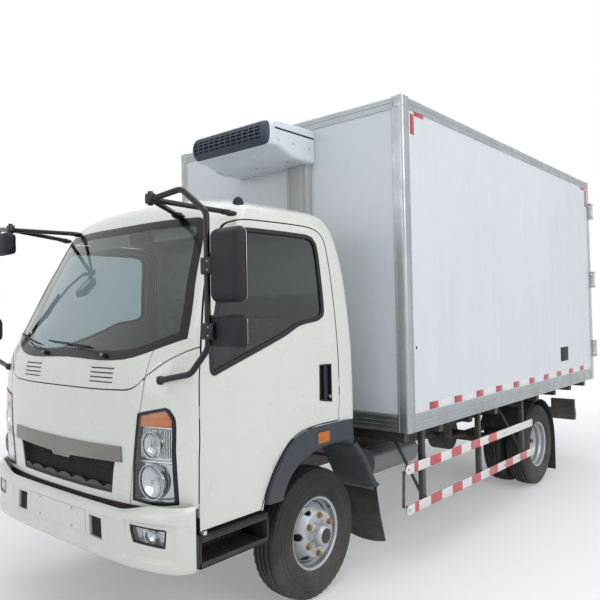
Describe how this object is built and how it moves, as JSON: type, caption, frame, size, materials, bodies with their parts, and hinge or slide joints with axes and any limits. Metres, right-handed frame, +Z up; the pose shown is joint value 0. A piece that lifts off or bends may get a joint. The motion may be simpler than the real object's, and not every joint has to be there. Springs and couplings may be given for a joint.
{
  "type": "refrigerated truck",
  "caption": "Two-axle refrigerated delivery truck with a tilting cab, hinged doors, twin rear wheels and an insulated box with a front cooling unit.",
  "frame": {"origin": "on the ground under the middle of the bounding box", "axes": "+Z up, +Y to the rear of the truck, +X to its left (the driver's side)"},
  "size_m": [2.649, 5.99, 3.152],
  "materials": {
    "chassis_black": "satin",
    "engine_iron": "matte",
    "axle_black": "satin",
    "spring_steel": "matte",
    "tyre_rubber": "matte",
    "wheel_silver": "satin",
    "panel_white": "satin",
    "floor_grey": "brushed",
    "edge_aluminium": "satin",
    "frame_steel": "brushed",
    "unit_white": "gloss",
    "unit_grille": "matte",
    "cab_ivory": "gloss",
    "glass_dark": "clear",
    "lamp_clear": "clear",
    "grille_dark": "matte",
    "liner_black": "matte",
    "trim_grey": "matte",
    "seat_fabric": "woven",
    "trim_black": "matte",
    "flare_black": "satin",
    "mirror_black": "satin",
    "guard_paint": "satin",
    "tank_aluminium": "satin",
    "exhaust_steel": "dull"
  },
  "bodies": {
    "chassis": {"frame_rails": "chassis_black", "box_sills": "chassis_black", "cross_members": "chassis_black", "engine_block": "engine_iron", "front_axle": "axle_black", "rear_axle": "axle_black", "leaf_springs": "spring_steel", "box_panels": "panel_white", "box_floor": "floor_grey", "box_edge_rails": "edge_aluminium", "rear_frame": "frame_steel", "reefer_unit": "unit_white", "reefer_grille": "unit_grille", "evaporator": "unit_white", "cab_mounts": "chassis_black", "front_bumper": "cab_ivory", "cab_steps": "trim_black", "side_guards": "guard_paint", "underride_bar": "guard_paint", "fuel_tank": "tank_aluminium", "air_tank": "chassis_black", "exhaust": "exhaust_steel", "rear_mudguards": "flare_black", "front_mudguards": "flare_black"},
    "cab": {"cab_floor": "liner_black", "cab_roof": "cab_ivory", "cab_front_panel": "cab_ivory", "cab_back_wall": "cab_ivory", "windscreen": "glass_dark", "headlamps": "lamp_clear", "grille": "grille_dark", "wheel_flares": "flare_black", "dashboard": "trim_grey", "seats": "seat_fabric", "steering_wheel": "trim_black", "mirrors": "mirror_black"},
    "cab_door_left": {"cab_door_left": "cab_ivory", "door_window_left": "glass_dark"},
    "cab_door_right": {"cab_door_right": "cab_ivory", "door_window_right": "glass_dark"},
    "knuckle_left": {"knuckle_left": "axle_black"},
    "knuckle_right": {"knuckle_right": "axle_black"},
    "tie_rod": {"tie_rod": "axle_black"},
    "wheel_front_left": {"tyre_front_left": "tyre_rubber", "rim_front_left": "wheel_silver"},
    "wheel_front_right": {"tyre_front_right": "tyre_rubber", "rim_front_right": "wheel_silver"},
    "wheels_rear_left": {"tyres_rear_left": "tyre_rubber", "rims_rear_left": "wheel_silver"},
    "wheels_rear_right": {"tyres_rear_right": "tyre_rubber", "rims_rear_right": "wheel_silver"},
    "rear_door_left": {"rear_door_left": "panel_white"},
    "rear_door_right": {"rear_door_right": "panel_white"}
  },
  "joints": [
    {"name": "steer_left", "type": "hinge", "parent": "chassis", "child": "knuckle_left", "pos_m": [0.7, -1.805, 0.386], "axis": [0, 0, 1], "range_deg": [-35, 35]},
    {"name": "steer_right", "type": "hinge", "parent": "chassis", "child": "knuckle_right", "pos_m": [-0.7, -1.805, 0.386], "axis": [0, 0, 1], "range_deg": [-35, 35]},
    {"name": "tie_rod_end", "type": "hinge", "parent": "knuckle_left", "child": "tie_rod", "pos_m": [0.654, -1.633, 0.3037], "axis": [0, 0, 1], "range_deg": [-35, 35]},
    {"name": "wheel_spin_front_left", "type": "hinge", "parent": "knuckle_left", "child": "wheel_front_left", "pos_m": [0.801, -1.805, 0.386], "axis": [1, 0, 0], "continuous": true},
    {"name": "wheel_spin_front_right", "type": "hinge", "parent": "knuckle_right", "child": "wheel_front_right", "pos_m": [-0.801, -1.805, 0.386], "axis": [1, 0, 0], "continuous": true},
    {"name": "wheel_spin_rear_left", "type": "hinge", "parent": "chassis", "child": "wheels_rear_left", "pos_m": [0.826, 1.485, 0.386], "axis": [1, 0, 0], "continuous": true},
    {"name": "wheel_spin_rear_right", "type": "hinge", "parent": "chassis", "child": "wheels_rear_right", "pos_m": [-0.826, 1.485, 0.386], "axis": [1, 0, 0], "continuous": true},
    {"name": "cab_tilt", "type": "hinge", "parent": "chassis", "child": "cab", "pos_m": [0, -2.825, 0.82], "axis": [1, 0, 0], "range_deg": [0, 45]},
    {"name": "cab_door_left_hinge", "type": "hinge", "parent": "cab", "child": "cab_door_left", "pos_m": [0.94, -2.753, 1.2], "axis": [0, 0, -1], "range_deg": [0, 70]},
    {"name": "cab_door_right_hinge", "type": "hinge", "parent": "cab", "child": "cab_door_right", "pos_m": [-0.94, -2.753, 1.2], "axis": [0, 0, 1], "range_deg": [0, 70]},
    {"name": "rear_door_left_hinge", "type": "hinge", "parent": "chassis", "child": "rear_door_left", "pos_m": [1.174, 2.98, 2], "axis": [0, 0, -1], "range_deg": [0, 270]},
    {"name": "rear_door_right_hinge", "type": "hinge", "parent": "chassis", "child": "rear_door_right", "pos_m": [-1.174, 2.98, 2], "axis": [0, 0, 1], "range_deg": [0, 270]}
  ],
  "couplings": [
    {"joint": "steer_right", "follows": "steer_left", "ratio": 1},
    {"joint": "tie_rod_end", "follows": "steer_left", "ratio": -1}
  ]
}
